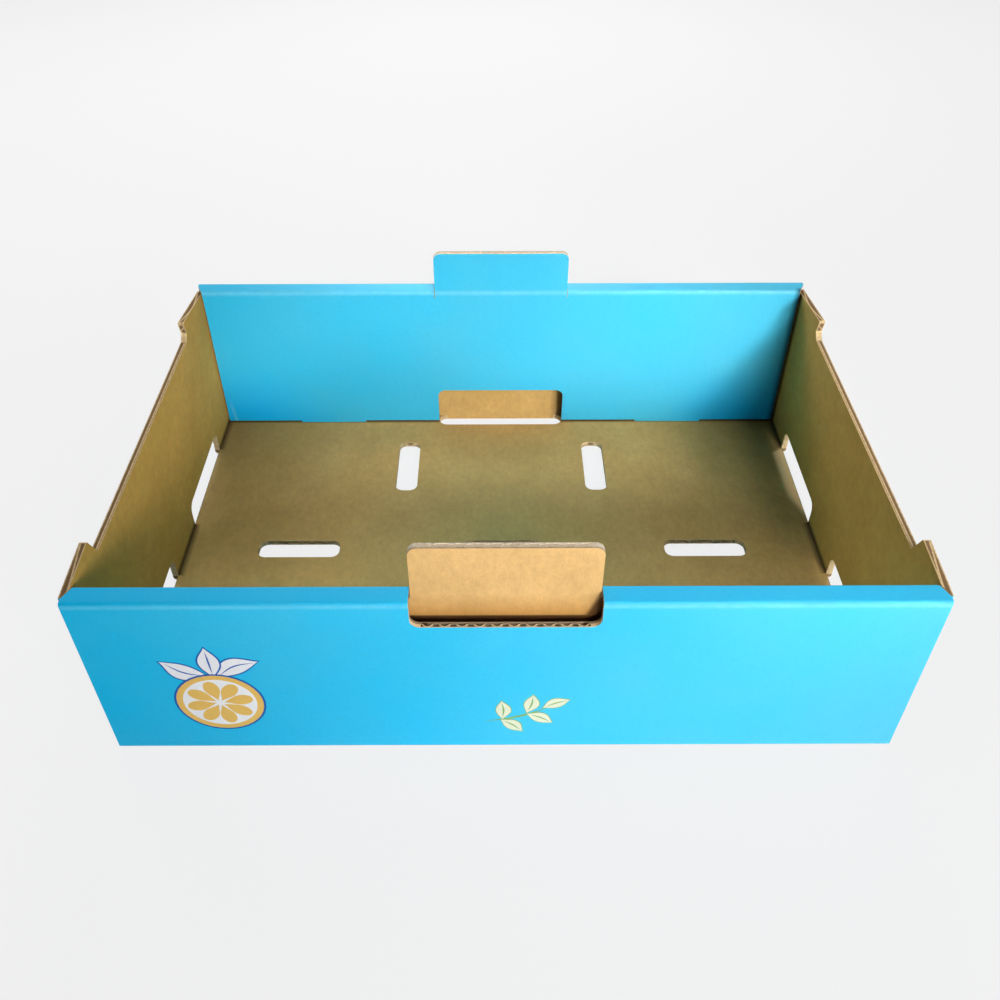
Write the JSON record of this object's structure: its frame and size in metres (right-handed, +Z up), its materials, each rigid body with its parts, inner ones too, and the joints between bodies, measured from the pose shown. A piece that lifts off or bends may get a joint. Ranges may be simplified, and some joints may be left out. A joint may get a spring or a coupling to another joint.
{
  "type": "cardboard tray box",
  "caption": "Open stackable tray folded from one sheet of corrugated board, with roll-over long walls, vents and standing tabs that locate the tray above",
  "frame": {"origin": "on the floor under the middle of the tray", "axes": "X runs along the long front wall to the right, Y runs from the front wall to the back wall, Z is up"},
  "size_m": [0.403, 0.284, 0.1381],
  "materials": {
    "board": "printed corrugated board with a blue ink film outside and bare kraft inside"
  },
  "bodies": {
    "root": {"tray": "board"}
  },
  "joints": []
}
